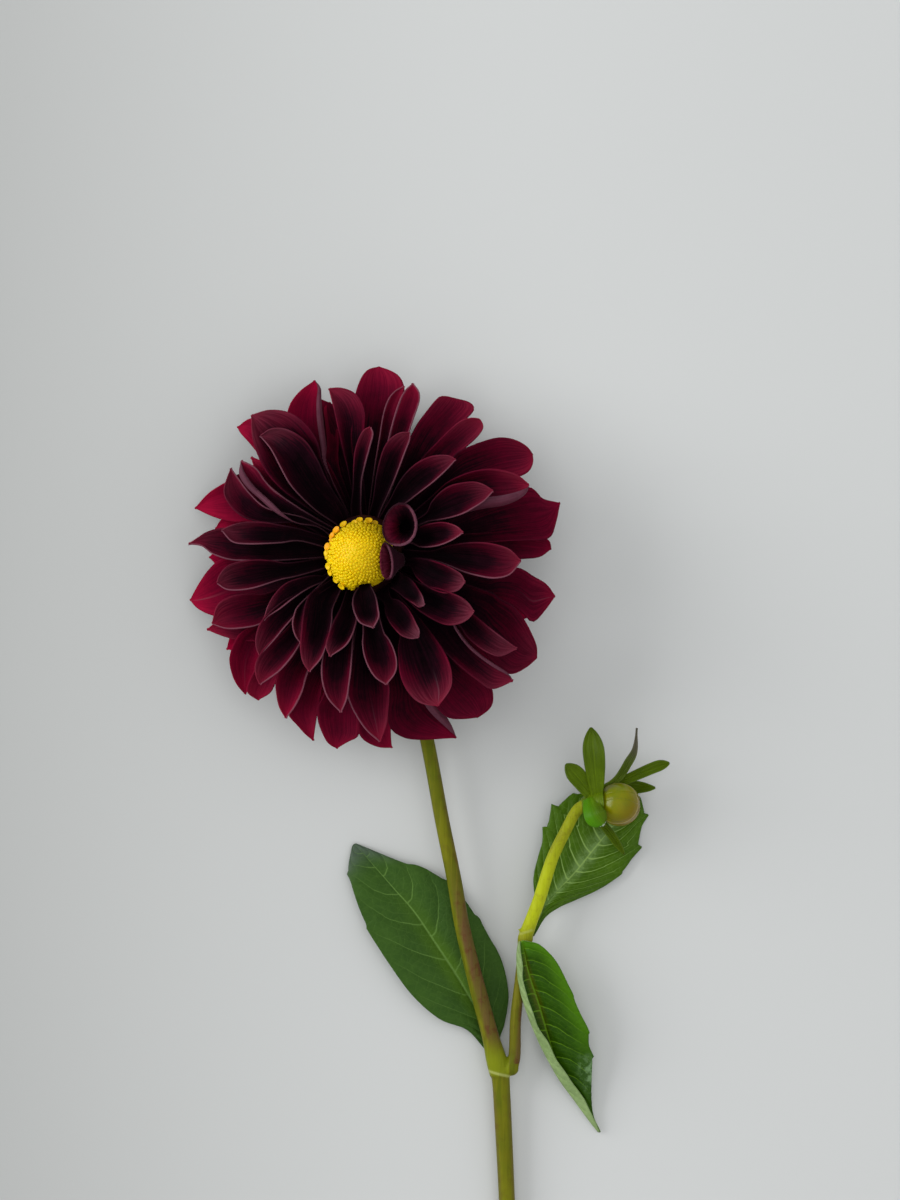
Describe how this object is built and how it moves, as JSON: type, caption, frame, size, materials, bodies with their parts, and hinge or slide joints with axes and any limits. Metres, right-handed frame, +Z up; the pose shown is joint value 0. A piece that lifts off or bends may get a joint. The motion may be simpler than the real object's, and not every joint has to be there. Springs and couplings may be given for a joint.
{
  "type": "cut dahlia flower",
  "caption": "Cut dark burgundy dahlia with a yellow disc, on a stem with leaves and a side shoot with a closed bud, lying on its back, face up.",
  "frame": {"origin": "middle of the flower's box in X and Y, on the surface that it lies on", "axes": "+X to the right across the head, +Y from the cut end of the stem to the head, +Z up out of the flower's face"},
  "size_m": [0.1448, 0.2774, 0.0499],
  "materials": {
    "petal": "velvety burgundy petal, nearly black towards the root, greyed at the margins",
    "disc": "waxy yellow florets",
    "calyx": "matt green",
    "stem": "smooth olive green with purple-brown streaks",
    "leaf_dark": "satin dark green with lighter veins",
    "leaf_mid": "satin green with pale veins",
    "leaf_bright": "satin bright green with pale underside",
    "bud": "glossy olive yellow, reddish on one side",
    "bract": "satin green"
  },
  "bodies": {
    "root": {"bloom_petals": "petal", "bloom_disc": "disc", "bloom_calyx": "calyx", "stem": "stem", "leaf_left": "leaf_dark", "leaf_bud": "leaf_mid", "leaf_hanging": "leaf_bright", "bud": "bud", "bud_bracts": "bract"}
  },
  "joints": []
}
